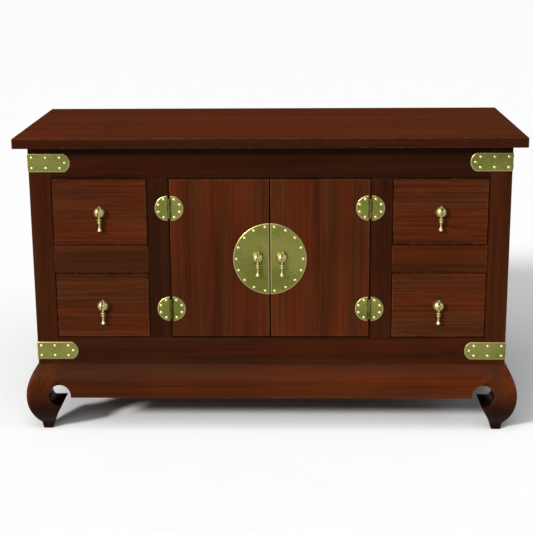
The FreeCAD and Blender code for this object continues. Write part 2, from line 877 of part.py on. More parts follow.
def stop_blocks(bottom):
    """Blocks on the runners that stop the drawer flush with the frame."""
    start = drawer_end + slide_clearance
    y = (start, start + stop_block_depth)
    block = box((drawer_inside_x[1], drawer_x[1]), y, (bottom, bottom + stop_block_height))
    return [block, across_drawer(block)]


runners = []
stops = []
for level, bottom in drawer_floors.items():
    runners += runner_pair(bottom)
    stops += stop_blocks(bottom)
    middle_x = (drawer_x[0] + drawer_x[1]) / 2
    pull_place = Vector(middle_x, front, bottom + drawer_opening_height / 2)
    for side, mirror in sides.items():
        name = f"{level}_{side}_drawer"
        save(f"{name}_front", [mirror(drawer_front(bottom, pull_place))])
        save(f"{name}_box", [mirror(board) for board in drawer_box(bottom)])
        save_pull(name, pull_place, drawer_front_thickness, mirror)
save("drawer_runners", pair(runners))
save("drawer_stops", pair(stops))
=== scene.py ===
# %% [markdown]
# # A low storage cabinet, finished in Blender
# The cabinet was built to size in CAD and packed as a frame of plain solids. This lesson gives every
# solid its looks: boards with eased edges, bowed legs, pressed brass, and the finishes on them. Blender
# changes no size here, so each new piece takes its place and its measures from the frame.

# %% Load the frame
import json
import math

import bmesh
import bpy
from mathutils import Matrix, Vector


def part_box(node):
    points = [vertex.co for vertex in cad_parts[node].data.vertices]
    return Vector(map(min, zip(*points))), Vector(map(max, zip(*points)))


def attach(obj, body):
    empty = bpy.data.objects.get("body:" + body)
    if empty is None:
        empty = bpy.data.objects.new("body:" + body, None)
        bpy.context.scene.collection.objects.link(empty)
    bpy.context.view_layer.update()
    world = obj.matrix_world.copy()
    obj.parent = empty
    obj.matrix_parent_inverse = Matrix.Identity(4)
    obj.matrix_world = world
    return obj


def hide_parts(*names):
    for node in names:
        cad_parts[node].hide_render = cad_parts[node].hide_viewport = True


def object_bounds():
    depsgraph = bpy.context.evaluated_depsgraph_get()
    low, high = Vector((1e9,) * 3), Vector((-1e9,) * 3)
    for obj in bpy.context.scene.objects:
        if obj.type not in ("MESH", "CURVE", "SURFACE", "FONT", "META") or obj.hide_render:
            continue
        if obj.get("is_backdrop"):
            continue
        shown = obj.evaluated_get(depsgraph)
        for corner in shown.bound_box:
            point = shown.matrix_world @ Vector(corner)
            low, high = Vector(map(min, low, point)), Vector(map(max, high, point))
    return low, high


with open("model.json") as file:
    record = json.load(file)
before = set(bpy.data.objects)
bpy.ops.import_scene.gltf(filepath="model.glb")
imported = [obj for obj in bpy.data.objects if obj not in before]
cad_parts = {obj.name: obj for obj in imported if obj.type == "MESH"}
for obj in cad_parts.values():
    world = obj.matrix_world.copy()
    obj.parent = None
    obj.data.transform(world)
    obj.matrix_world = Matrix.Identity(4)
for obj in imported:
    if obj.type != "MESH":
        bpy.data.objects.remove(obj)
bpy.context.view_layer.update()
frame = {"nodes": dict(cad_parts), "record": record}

mm = 0.001
X, Y, Z = 0, 1, 2

# %% [markdown]
# ## Reading places from the frame
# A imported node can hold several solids, such as all four posts. Their triangles are written one solid
# after another, and a solid is complete when every edge has been met twice. That gives the corners of
# each board without typing them in again.

# %% The boxes of the solids in a node
def spot(vertex):
    """A point's place in plain numbers, rounded so that points in one place compare as equal."""
    return tuple(round(c, 6) for c in vertex.co)


def solids(node):
    """The lowest and highest corner of each solid in a CAD node, in the order they were packed."""
    mesh = frame["nodes"][node].data
    boxes, corners, open_edges = [], [], set()
    for face in mesh.polygons:
        ring = [spot(mesh.vertices[i]) for i in face.vertices]
        corners += ring
        for start, end in zip(ring, ring[1:] + ring[:1]):
            open_edges ^= {(min(start, end), max(start, end))}
        if not open_edges:
            columns = list(zip(*corners))
            boxes.append((Vector(map(min, columns)), Vector(map(max, columns))))
            corners = []
    return boxes


def middle_of(box):
    return (box[0] + box[1]) / 2


def side_of(box):
    """1 for a solid on the cabinet's right, and -1 on its left."""
    return 1 if middle_of(box).x > 0 else -1


def trimmed(box, axis, low, high):
    """A solid's box cut back along one axis, which leaves off its tenons and tongues."""
    lowest, highest = box[0].copy(), box[1].copy()
    lowest[axis] = max(lowest[axis], low)
    highest[axis] = min(highest[axis], high)
    return lowest, highest


posts = solids("corner_posts")
post_low, post_high = posts[0]
half_width, post_inner = post_high.x, post_low.x
front_face, post_rear = post_low.y, post_high.y
base_top, carcass_top = post_low.z, post_high.z
opening_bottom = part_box("front_bottom_rail")[1].z
opening_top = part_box("front_top_rail")[0].z
mullion_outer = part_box("front_mullions")[1].x
print("front opening from", round(opening_bottom / mm), "to", round(opening_top / mm), "mm high")

# %% [markdown]
# ## Writing a finish as arithmetic
# A material is a net of nodes, and most of them only add or multiply. Here a small class wraps a socket
# so that such sums are written as ordinary Python. A second class holds one material and adds any other
# node from its type, its settings and the values of its sockets.

# %% Sockets as values, and the finish that holds them
class Wire:
    """An output socket in a finish. Arithmetic on it adds Math nodes."""

    def __init__(self, finish, socket):
        self.finish = finish
        self.socket = socket

    def sum(self, operation, first, second):
        return self.finish.node("ShaderNodeMath", {"operation": operation}, {0: first, 1: second})

    def __add__(self, other):
        return self.sum("ADD", self, other)

    def __sub__(self, other):
        return self.sum("SUBTRACT", self, other)

    def __rsub__(self, other):
        return self.sum("SUBTRACT", other, self)

    def __mul__(self, other):
        return self.sum("MULTIPLY", self, other)

    __radd__ = __add__
    __rmul__ = __mul__


class Finish:
    """One material, and the one way in which nodes are added to it."""

    def __init__(self, name):
        self.material = bpy.data.materials.new(name)
        self.material.use_nodes = True
        self.tree = self.material.node_tree
        self.shader = self.tree.nodes["Principled BSDF"]

    def node(self, kind, settings=None, sockets=None, out=0):
        """Adds a node: its settings are set first, then its sockets get values or links."""
        added = self.tree.nodes.new(kind)
        for setting, value in (settings or {}).items():
            setattr(added, setting, value)
        for socket, value in (sockets or {}).items():
            self.fill(added.inputs[socket], value)
        return Wire(self, added.outputs[out])

    def fill(self, socket, value):
        if isinstance(value, Wire):
            self.tree.links.new(value.socket, socket)
        else:
            socket.default_value = value

    def surface(self, **sockets):
        """Feeds the shader. An underscore in a name stands for the space in the socket's name."""
        for socket, value in sockets.items():
            self.fill(self.shader.inputs[socket.replace("_", " ")], value)
        return self.material

    def place(self):
        return self.node("ShaderNodeTexCoord", out="Object")

    def carried(self, name):
        """A number that the mesh carries in an attribute, and 0 on a mesh without it."""
        return self.node("ShaderNodeAttribute", {"attribute_name": name}, out="Fac")

    def vectors(self, operation, first, second):
        return self.node("ShaderNodeVectorMath", {"operation": operation}, {0: first, 1: second})

    def vector(self, x, y, z):
        return self.node("ShaderNodeCombineXYZ", {}, {0: x, 1: y, 2: z})

    def noise(self, at, waves, detail=2.0):
        """Soft noise from about 0.3 to 0.7. Its waves per metre are one number, or one for each axis."""
        waves = waves if isinstance(waves, tuple) else (waves,) * 3
        sockets = {"Vector": self.vectors("MULTIPLY", at, waves), "Scale": 1.0, "Detail": detail}
        return self.node("ShaderNodeTexNoise", {}, sockets)

    def step(self, value, low, high):
        """0 below low and 1 above high, with a smooth slope between."""
        sockets = {"Value": value, "From Min": low, "From Max": high}
        return self.node("ShaderNodeMapRange", {"interpolation_type": "SMOOTHSTEP"}, sockets)

    def mix(self, factor, first, second):
        """A colour between two others. The colour sockets of a Mix node are its seventh and eighth."""
        return self.node("ShaderNodeMix", {"data_type": "RGBA"}, {0: factor, 6: first, 7: second}, 2)

    def bump(self, height, strength, distance):
        sockets = {"Height": height, "Strength": strength, "Distance": distance}
        return self.node("ShaderNodeBump", {}, sockets)


def colour(red, green, blue):
    return (red, green, blue, 1.0)


print("wires can be added, subtracted and multiplied")

# %% [markdown]
# ## Mahogany
# The wood is dark red-brown mahogany under a satin lacquer. It has broad figure, narrower streaks, fine
# fibre and short dark pores, all drawn out along the grain, and noise stretched along one axis gives each
# of these. The mesh carries four numbers for the finish to read: how pale a place's edge is, from wear and
# a painted highlight; how dark its board was stained; how much painted shade lies there, with a little
# dust in the joints; and a number of the board's own. The last moves the pattern, so that no two boards
# are cut from the same place in the tree.

# %% Wood finish
grain_turns = {
    "x": (0.0, 0.0, 0.0),
    "y": (0.0, 0.0, -math.pi / 2),
    "z": (0.0, math.pi / 2, 0.0),
}
lacquer_tint = colour(1.0, 0.5, 0.25)


def wood_finish(name, grain, colours, figured, lined, roughness, gloss, coat):
    """Wood whose grain runs along one axis. Its colours are dark, brown, red and a pale one for its edges.
    """
    dark, brown, red, pale_edge = colours
    f = Finish(f"{name}_{grain}")
    place = f.place()
    lie = f.node("ShaderNodeMapping", {}, {"Vector": place, "Rotation": grain_turns[grain]})
    number = f.carried("board")
    lie = f.vectors("ADD", lie, f.vector(number * 3.7, number * 5.3, number * 4.1))
    sway = f.noise(lie, (1.7, 6.0, 6.0)) - 0.5
    lie = f.vectors("ADD", lie, f.vector(0.0, sway * 0.03, sway * 0.02))
    figure = f.noise(lie, (1.0, 24.0, 24.0), 3.0) - 0.5
    streak = f.noise(lie, (2.0, 165.0, 165.0), 3.0) - 0.5
    fibre = f.noise(lie, (14.0, 900.0, 900.0)) - 0.5
    stain = f.noise(place, 3.0) - 0.5
    lines = f.step(f.noise(lie, (2.6, 300.0, 300.0)), 0.55, 0.64)
    pores = f.step(f.noise(lie, (70.0, 1500.0, 1500.0), 1.0), 0.60, 0.72)
    cells = {"Vector": f.vectors("MULTIPLY", lie, (9.0, 15.0, 15.0)), "Scale": 1.0}
    knots = 1 - f.step(f.node("ShaderNodeTexVoronoi", {}, cells), 0.02, 0.055)
    light = (figure + stain * 0.5) * figured + (streak * 1.2 + fibre * 0.7) * lined + 0.55
    hue = f.step(f.noise(lie, (1.3, 20.0, 20.0)), 0.38, 0.62)
    body = f.mix(light, dark, f.mix(hue, brown, red))
    body = f.mix((lines * 0.4 + pores * 0.4 + knots * 0.6) * lined, body, dark)
    # Pale edges: partly wear, partly a painted highlight along the arrises.
    ragged = f.noise(place, 70.0, 4.0) - 0.5
    wear_and_highlight = f.step(f.carried("wear_and_light") + ragged * 0.9, 0.85, 1.2)
    body = f.mix(wear_and_highlight * 0.45, body, pale_edge)
    # The shade number darkens the colour: painted shade, with a little dust in the joints.
    scale = (f.carried("tone") + 1.0) * (1 - f.carried("shade"))
    body = f.node("ShaderNodeVectorMath", {"operation": "SCALE"}, {0: body, "Scale": scale})
    smudge = f.noise(place, 11.0, 3.0) - 0.5
    sheen = streak * 0.25 + smudge * 0.25 + wear_and_highlight * 0.1 + roughness
    relief = fibre * 0.5 + streak * 0.3 - pores * 0.4 - lines * 0.2
    return f.surface(
        Base_Color=body,
        Roughness=sheen,
        Normal=f.bump(relief, 0.25, 0.4 * mm),
        Specular_IOR_Level=gloss,
        Specular_Tint=lacquer_tint,
        Coat_Weight=smudge * coat + coat,
        Coat_Roughness=0.2,
    )


print("grain can run along", *grain_turns)

# %% The woods of the cabinet
dark_reds = [
    colour(0.0060, 0.0014, 0.0006), colour(0.064, 0.0160, 0.0042),
    colour(0.078, 0.0135, 0.0030), colour(0.10, 0.036, 0.013),
]
plain_browns = [
    colour(0.050, 0.019, 0.007), colour(0.19, 0.085, 0.036),
    colour(0.20, 0.078, 0.030), colour(0.25, 0.14, 0.07),
]
satin = {"roughness": 0.36, "gloss": 0.06, "coat": 0.02}
waxed = {"roughness": 0.45, "gloss": 0.0, "coat": 0.06}
bare = {"roughness": 0.55, "gloss": 0.10, "coat": 0.0}
mahogany, inner_wood = {}, {}
for grain in grain_turns:
    mahogany[grain] = wood_finish("mahogany", grain, dark_reds, figured=1.0, lined=0.5, **satin)
    inner_wood[grain] = wood_finish("inner_wood", grain, plain_browns, figured=0.8, lined=1.0, **bare)
lined_wood = wood_finish("lined_mahogany", "x", dark_reds, figured=0.75, lined=0.85, **satin)
waxed_wood = wood_finish("waxed_mahogany", "x", dark_reds, figured=0.38, lined=0.5, **waxed)
print("woods:", *[wood.name for wood in (mahogany["x"], inner_wood["x"], lined_wood, waxed_wood)])

# %% [markdown]
# ## Aged brass and steel
# The plates are rolled brass that has dulled to an olive gold, brushed up and down, with brown tarnish in
# soft clouds, and their rims are pale with wear. The studs and the pulls are handled, so they are paler
# too, and light and shade are painted onto them: dark and dull on the faces that look down. The hinge
# barrels are a darker brass. One finish makes all four. The magnets and their strikes are plain bright
# steel.

# %% Metal finishes
def brass_finish(name, polished, dulled_and_shaded, dull_start, roughness, dented, brushing, pale_edge=None):
    """Brass between a polished and a dull colour, clearer where a point's number is high, and there mixed
    with a pale edge colour if one is given. On studs and pulls that number is painted light, so the dull
    colour paints shade on their undersides.
    """
    f = Finish(name)
    place = f.place()
    cloud = f.noise(place, 11.0, 4.0)
    spots = f.noise(place, 190.0, 3.0) - 0.5
    brushed = (f.noise(place, (1400.0, 300.0, 25.0)) - 0.5) * brushing
    dents = f.noise(place, 70.0, 1.0) - 0.5
    # On studs and pulls this number is painted light, and where it is low it paints shade on the
    # undersides.
    wear_and_light = f.carried("wear_and_light")
    tarnish_and_shade = f.step(cloud + spots * 0.5 + brushed * 0.2 - wear_and_light * 0.5, dull_start, dull_start + 0.4)
    body = f.mix(tarnish_and_shade, polished, dulled_and_shaded)
    if pale_edge:
        body = f.mix(wear_and_light * 0.5, body, pale_edge)
    sheen = tarnish_and_shade * 0.16 + brushed * 0.1 + spots * 0.12 + roughness
    relief = brushed * 0.15 + dents * dented + spots * 0.12
    return f.surface(
        Base_Color=body,
        Roughness=sheen,
        Metallic=1.0,
        Normal=f.bump(relief, 0.22, 0.5 * mm),
    )


def steel_finish():
    f = Finish("bright_steel")
    place = f.place()
    scratches = f.noise(place, (900.0, 900.0, 60.0)) - 0.5
    cloud = f.noise(place, 60.0, 3.0)
    return f.surface(
        Base_Color=f.mix(cloud, colour(0.42, 0.42, 0.43), colour(0.62, 0.61, 0.60)),
        Roughness=scratches * 0.3 + cloud * 0.15 + 0.22,
        Metallic=1.0,
        Normal=f.bump(scratches, 0.2, 0.2 * mm),
    )


rolled = {"dull_start": 0.28, "roughness": 0.36, "dented": 1.0, "brushing": 1.0}
handled = {"dull_start": 0.24, "roughness": 0.40, "dented": 0.1, "brushing": 0.15}
dark_barrel = {"dull_start": 0.30, "roughness": 0.42, "dented": 0.2, "brushing": 0.5}
plate_brass = brass_finish(
    "aged_brass", colour(0.22, 0.22, 0.058), colour(0.125, 0.135, 0.025), **rolled,
    pale_edge=colour(0.44, 0.35, 0.18))
stud_brass = brass_finish("rubbed_brass", colour(0.56, 0.50, 0.20), colour(0.10, 0.09, 0.024), **handled)
pull_brass = brass_finish(
    "handled_brass", colour(0.42, 0.36, 0.145), colour(0.085, 0.072, 0.022), **handled)
knuckle_brass = brass_finish("dark_brass", colour(0.16, 0.14, 0.045), colour(0.05, 0.044, 0.013), **dark_barrel)
steel = steel_finish()
print("metals:", *[metal.name for metal in (plate_brass, stud_brass, pull_brass, knuckle_brass, steel)])

# %% [markdown]
# ## Studio
# A large pale floor with no wall lets the light and the other views reach the cabinet from all round.
# One lamp stands to the left of the camera, because in the photograph the pulls throw their shadows to
# the right. A wide soft one shines from above, which darkens the rail under the top and the feet, and a
# weak one on the right opens up the shadows. All three are suns, which light the floor as brightly far
# away as near. The camera looks down from above the top, and its place and lens were found by matching the
# corners of the cabinet in the photograph.

# %% Floor
bpy.ops.object.select_all(action="DESELECT")
bpy.ops.mesh.primitive_plane_add(size=80.0)
floor = bpy.context.object
floor.name = "studio_floor"
pale = Finish("pale_floor")
mottle = pale.noise(pale.place(), 6.0, 3.0)
floor.data.materials.append(pale.surface(
    Base_Color=pale.mix(mottle, colour(0.68, 0.68, 0.675), colour(0.70, 0.70, 0.695)),
    Roughness=mottle * 0.1 + 0.75,
    Specular_IOR_Level=0.2,
))
floor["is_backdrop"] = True
print("floor", floor.dimensions.x, "m wide")

# %% Lamps and air
lamp_distance = 5.0


def sun_lamp(name, left, up, strength, spread):
    """A lamp so far off that it lights all of the floor, some degrees left of the camera and up."""
    left, up = math.radians(left), math.radians(up)
    level = math.cos(up)
    toward = Vector((-math.sin(left) * level, -math.cos(left) * level, math.sin(up)))
    bpy.ops.object.light_add(type="SUN", location=toward * lamp_distance)
    lamp = bpy.context.object
    lamp.name = name
    lamp.data.energy = strength
    lamp.data.angle = math.radians(spread)
    lamp.rotation_euler = toward.to_track_quat("Z", "Y").to_euler()
    print(name, "of strength", strength)


sun_lamp("side_lamp", left=46.0, up=25.0, strength=4.6, spread=8.0)
sun_lamp("upper_lamp", left=12.0, up=55.0, strength=2.4, spread=60.0)
sun_lamp("fill_lamp", left=-68.0, up=22.0, strength=0.6, spread=30.0)
world = bpy.data.worlds.new("studio_air")
world.use_nodes = True
air = world.node_tree.nodes["Background"].inputs
air["Color"].default_value = colour(0.95, 0.97, 1.0)
air["Strength"].default_value = 0.15
bpy.context.scene.world = world
bpy.context.scene.view_settings.view_transform = "Standard"

# %% Camera
camera_place = Vector((60.0, -2940.0, 1202.0)) * mm
camera_down, camera_turn, camera_roll = (math.radians(angle) for angle in (13.43, 1.32, 0.395))
camera_angles = (math.pi / 2 - camera_down, camera_roll, camera_turn)
bpy.ops.object.camera_add(location=camera_place, rotation=camera_angles)
camera = bpy.context.object
camera.data.lens = 79.9
camera.data.shift_y = -0.1
bpy.context.scene.camera = camera

# %% [markdown]
# ## Working in edit mode
# Operators act on whatever is selected, so each piece starts with nothing selected, and the faces, edges
# or points to work on are then chosen in code by where they lie or which way they look. A new primitive
# has its size and place put into its mesh at once, so that its object stays at the origin.

# %% Selecting
def let_go():
    """Deselects every object, as before each new primitive."""
    bpy.ops.object.select_all(action="DESELECT")


def take(*parts):
    """Selects these objects alone. The first is the active one, and is given back."""
    let_go()
    for part in parts:
        part.select_set(True)
    bpy.context.view_layer.objects.active = parts[0]
    return parts[0]


def select_mesh():
    bpy.ops.mesh.select_all(action="SELECT")


def open_up(part):
    """Opens one object in edit mode, with all of its mesh selected."""
    take(part)
    bpy.ops.object.mode_set(mode="EDIT")
    select_mesh()


def close_up():
    bpy.ops.object.mode_set(mode="OBJECT")


def pick(kind, wanted):
    """Selects the points, edges or faces of the open mesh for which wanted says yes."""
    bpy.ops.mesh.select_mode(type=kind)
    bpy.ops.mesh.select_all(action="DESELECT")
    mesh = bpy.context.edit_object.data
    shape = bmesh.from_edit_mesh(mesh)
    elements = {"VERT": shape.verts, "EDGE": shape.edges, "FACE": shape.faces}[kind]
    for element in elements:
        if wanted(element):
            element.select_set(True)
    shape.select_flush_mode()
    bmesh.update_edit_mesh(mesh)


def picked(part):
    """The points of an open mesh that are selected."""
    return [vertex for vertex in bmesh.from_edit_mesh(part.data).verts if vertex.select]


# %% Shaping
smooth_angle = math.radians(34)
fine = 1e-6


def started(size=(1.0, 1.0, 1.0)):
    """The primitive just added, with its size and place put into its mesh, opened for shaping."""
    part = bpy.context.object
    part.scale = size
    bpy.ops.object.transform_apply(location=True, rotation=True, scale=True)
    open_up(part)
    return part


def disc(points, radius, centre, turn=(0, 0, 0)):
    """A filled circle, opened for shaping."""
    let_go()
    bpy.ops.mesh.primitive_circle_add(
        vertices=points, radius=radius, fill_type="NGON", location=centre, rotation=turn)
    return started()


def draw_out(x, y, z):
    """Extrudes what is selected by a move."""
    bpy.ops.mesh.extrude_region_move(TRANSFORM_OT_translate={"value": (x, y, z)})


def along(axis):
    """The unit vector along one of the three axes."""
    return Vector((axis == X, axis == Y, axis == Z))


def sliced(part, axis, places):
    """Cuts the faces of a part across an axis, so that each side of a cut can carry its own numbers."""
    across = along(axis)
    open_up(part)
    for place in places:
        select_mesh()
        bpy.ops.mesh.bisect(plane_co=across * place, plane_no=across, threshold=fine)
    close_up()


def face_outwards():
    """Turns all faces of the open mesh outwards."""
    select_mesh()
    bpy.ops.mesh.normals_make_consistent(inside=False)


def smooth(part):
    take(part)
    bpy.ops.object.shade_smooth_by_angle(angle=smooth_angle)
    return part


def applied(part, name, kind, **settings):
    """Adds a modifier, sets it and applies it."""
    modifier = part.modifiers.new(name, kind)
    for setting, value in settings.items():
        setattr(modifier, setting, value)
    take(part)
    bpy.ops.object.modifier_apply(modifier=name)
    return part


print("edges sharper than", round(math.degrees(smooth_angle)), "degrees stay sharp")

# %% [markdown]
# ## From parts to pieces
# What repeats is modelled once and copied, each copy with its own mesh. Wear, painted light and painted
# shade are stored in the mesh as numbers at each point, for the finish to read. A finished part becomes
# a piece when it is joined, named, tied to the body it moves with and said to stand for its node.

# %% Copies, wear and pieces
body_of = {node: body for body, nodes in frame["record"]["behaviour"]["bodies"].items() for node in nodes}
mirror_x = Matrix.Diagonal((-1.0, 1.0, 1.0, 1.0))
mirror_y = Matrix.Diagonal((1.0, -1.0, 1.0, 1.0))
# Painted light on small brass: its share on faces that look sideways, and how it grows as a face turns up.
side_shine, tilt_shine = 0.85, 1.1


def moved(part, matrix):
    part.data.transform(matrix)
    return part


def copy_of(part, matrix):
    """A copy with its own mesh, moved by a matrix. A mirrored copy is turned right side out."""
    twin = part.copy()
    twin.data = part.data.copy()
    bpy.context.collection.objects.link(twin)
    moved(twin, matrix)
    if matrix.determinant() < 0:
        twin.data.flip_normals()
    return twin


def scrap(*parts):
    """Removes parts that were only made to be copied."""
    for part in parts:
        bpy.data.objects.remove(part)


def wear_light_and_shade(part, amount, name="wear_and_light"):
    """Stores a number from 0 to 1 at each point: its wear and painted light, or its painted shade."""
    layers = part.data.attributes
    numbers = layers.get(name) or layers.new(name, "FLOAT", "POINT")
    for vertex, item in zip(part.data.vertices, numbers.data):
        item.value = amount(vertex)
    return part


def shaded_below(part):
    """Paints light and shade into small brass: bright on faces that look up, dark on those that look down.
    """
    return wear_light_and_shade(part, lambda vertex: min(max(side_shine + tilt_shine * vertex.normal.z, 0.0), 1.0))


def coated(part, finish):
    part.data.materials.clear()
    part.data.materials.append(finish)
    return part


def finished(node, parts, finish=None):
    """Coats and joins parts into the piece that stands for a CAD node and moves with its body."""
    if finish:
        parts = [coated(part, finish) for part in parts]
    piece = take(*parts)
    if len(parts) > 1:
        bpy.ops.object.join()
    piece.name = f"{node}_finished"
    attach(piece, body_of[node])
    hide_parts(node)
    return piece


# %% [markdown]
# ## Boards
# Nearly all of the cabinet is boards. A plain block looks like a drawing, because real edges are eased
# with a plane and catch a thin line of light. So a cube is sized to the board, its edges are bevelled, and
# each flat is inset twice: a hair's breadth keeps the flat's shading flat, and a wider band is painted
# paler at the edge, partly as wear from hands and cloths and partly as a painted highlight along the
# arris. Wide boards are glued up from planks, so they are cut along their glue lines.

# %% Make a board
hold, hold_share = 0.4 * mm, 0.1
# The wider band is painted paler: partly wear, partly a painted highlight along the arris.
pale_band, pale_share = 9.0 * mm, 0.25
square_on = 0.9999


def board(low, high, ease):
    """A planed board between two corners, with eased edges. A thin board has narrower bands."""
    size = high - low
    let_go()
    bpy.ops.mesh.primitive_cube_add(size=1.0, location=(low + high) / 2)
    part = started(size)
    bpy.ops.mesh.bevel(offset=ease, segments=2, affect="EDGES")
    pick("FACE", lambda face: max(abs(c) for c in face.normal) > square_on)
    bpy.ops.mesh.inset(thickness=min(hold, hold_share * min(size)), use_individual=True)
    bpy.ops.mesh.inset(thickness=min(pale_band, pale_share * min(size)), use_individual=True)
    close_up()
    wear_light_and_shade(part, lambda vertex: not vertex.select)
    return smooth(part)


print("a board's rubbed band is", pale_band / mm, "mm wide")

# %% Stain a board, plank by plank
golden_share, tone_spread = 0.618, 0.16
board_count = 0


def stained(part, tone, planks=1, across=X):
    """Cuts a board into planks and gives each its own number and a tone of stain near the given one."""
    global board_count
    places = [vertex.co[across] for vertex in part.data.vertices]
    low, width = min(places), (max(places) - min(places)) / planks
    if planks > 1:
        sliced(part, across, [low + plank * width for plank in range(1, planks)])
    number = part.data.attributes.new("board", "FLOAT", "FACE")
    stain = part.data.attributes.new("tone", "FLOAT", "FACE")
    for face in part.data.polygons:
        plank = min(int((face.center[across] - low) / width), planks - 1)
        spread = (golden_share * (board_count + plank)) % 1.0
        number.data[face.index].value = spread
        stain.data[face.index].value = tone + tone_spread * (spread - 0.5)
    board_count += planks
    return part


def boards(node, finish, ease, tone=0.0, boxes=None, planks=1, across=X):
    """The piece for a node of plain boards, or of trimmed boxes, with edges eased by some millimetres."""
    parts = []
    for low, high in boxes or solids(node):
        parts.append(stained(board(low, high, ease * mm), tone, planks, across))
    return finished(node, parts, finish)


print("planks differ in tone by up to", tone_spread)

# %% [markdown]
# ## The carcass
# The frame's posts, rails, mullions and dividers are thick stock, stained a shade darker than the panels
# they hold. Their tenons are hidden in the joints, so each board is trimmed to what shows. In the
# photograph the post on the right is the paler one, so the posts are stained in reverse order.

# %% Posts, rails, mullions and dividers
frame_tone = -0.50


def between_posts(node):
    return [trimmed(box, X, -post_inner, post_inner) for box in solids(node)]


def beside(box, low, high):
    """A box trimmed to a span that lies on its own side of the middle."""
    return trimmed(box, X, *sorted((side_of(box) * low, side_of(box) * high)))


top_rail_boxes = between_posts("front_top_rail")
low_rail_boxes = between_posts("front_bottom_rail")
rear_rail_boxes = between_posts("rear_rails")
side_rail_boxes = [trimmed(box, Y, post_rear, -post_rear) for box in solids("side_rails")]
mullion_boxes = [trimmed(box, Z, opening_bottom, opening_top) for box in solids("front_mullions")]
divider_boxes = [beside(box, mullion_outer, post_inner) for box in solids("drawer_dividers")]

frame_posts = boards("corner_posts", mahogany["z"], ease=1.0, tone=frame_tone, boxes=posts[::-1])
# The top rail's tone is darker than the rest of the frame's: part of it is painted shade from the top's
# overhang.
top_rail = boards("front_top_rail", mahogany["x"], ease=0.7, tone=-0.64, boxes=top_rail_boxes)
bottom_rail = boards("front_bottom_rail", mahogany["x"], ease=0.7, tone=-0.40, boxes=low_rail_boxes)
boards("rear_rails", inner_wood["x"], ease=0.7, tone=frame_tone, boxes=rear_rail_boxes)
boards("side_rails", mahogany["y"], ease=0.7, tone=frame_tone, boxes=side_rail_boxes)
mullions = boards("front_mullions", mahogany["z"], ease=0.8, tone=-0.48, boxes=mullion_boxes)
dividers = boards("drawer_dividers", mahogany["x"], ease=0.8, tone=-0.14, boxes=divider_boxes)
print("boards in the frame:", board_count)

# %% [markdown]
# ## Painted shade in the corners of the frame
# The rail and the posts under the top are painted darker as the shadow of the top's overhang, and the
# frame beside the doors and drawers as the shade in the gaps, where a little dust lies too. A point can
# carry a shade, but a plain board has points only along its edges. The boards are therefore cut again at
# the width of each dark line.

# %% Darken the corners of the frame
# Painted shade: the shadow of the top's overhang, and the shade in the gaps round the openings, with a
# little dust.
overhang_shade = {"depth": 26.0 * mm, "amount": 0.85}
gap_shade_and_dust = {"depth": 4.0 * mm, "amount": 0.7}
near = 0.01 * mm


def shaded_beside(piece, axis, edges, depth, amount):
    """Paints shade into a piece beside its edges. The shade beside upright edges ends with the opening."""
    sliced(piece, axis, [edge + way * depth for edge in edges for way in (-1, 1)])
    layer = piece.data.attributes.get("shade")
    before = [item.value for item in layer.data] if layer else [0.0] * len(piece.data.vertices)

    def shade(vertex):
        gap = min(abs(vertex.co[axis] - edge) for edge in edges)
        shown = axis == Z or opening_bottom - near < vertex.co.z < opening_top + near
        return max(before[vertex.index], shown * amount * (1.0 - gap / depth))

    wear_light_and_shade(piece, shade, "shade")


# Painted shade on the frame, under the top and beside the openings.
sliced(frame_posts, Z, [opening_bottom, opening_top])
shaded_beside(frame_posts, Z, [carcass_top], **overhang_shade)
shaded_beside(frame_posts, X, [-post_inner, post_inner], **gap_shade_and_dust)
shaded_beside(top_rail, Z, [carcass_top], **overhang_shade)
shaded_beside(top_rail, Z, [opening_top], **gap_shade_and_dust)
shaded_beside(bottom_rail, Z, [opening_bottom], **gap_shade_and_dust)
shaded_beside(mullions, X, [corner.x for box in mullion_boxes for corner in box], **gap_shade_and_dust)
shaded_beside(dividers, Z, [corner.z for corner in divider_boxes[0]], **gap_shade_and_dust)
print("joints are dark for", gap_shade_and_dust["depth"] / mm, "mm")

# %% [markdown]
# ## Panels and top
# The side and back panels stand in grooves, so they are trimmed to a little more than their openings. The
# top is glued up from planks along its length and overhangs on all sides. Its edges are end grain and
# long grain that took more stain than its face.

# %% Side panels, back panel and top
panel_overlap = 2.0 * mm
top_edge_tone = -0.47


def panels(node, axis, opening):
    """The boxes of panels, each trimmed to its opening and a little more."""
    low, high, reach = opening_bottom - panel_overlap, opening_top + panel_overlap, opening + panel_overlap
    return [trimmed(trimmed(box, Z, low, high), axis, -reach, reach) for box in solids(node)]


side_boxes = panels("side_panels", Y, -post_rear)
boards("side_panels", mahogany["z"], ease=0.5, tone=0.05, boxes=side_boxes, planks=3, across=Y)
boards("back_panel", inner_wood["z"], ease=0.5, boxes=panels("back_panel", X, post_inner), planks=8)
top = boards("top_board", waxed_wood, ease=2.0, tone=0.5, boxes=[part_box("top_board")], planks=4, across=Y)
for face in top.data.polygons:
    if abs(face.normal.z) < 0.5:
        top.data.attributes["tone"].data[face.index].value = top_edge_tone
print("boards in the carcass:", board_count)

# %% [markdown]
# ## Doors and drawers
# The doors and drawer fronts are flat boards set flush in the frame. Their arrises are eased a little more
# than the frame's, so those on the left catch the light, and the top edge of each drawer front is painted
# darker as shade from the rail or divider above. Each door is glued up from planks on end, and each drawer
# front is one plank lying down. The drawer box behind it is paler wood with no lacquer: two sides, a back
# and a bottom.

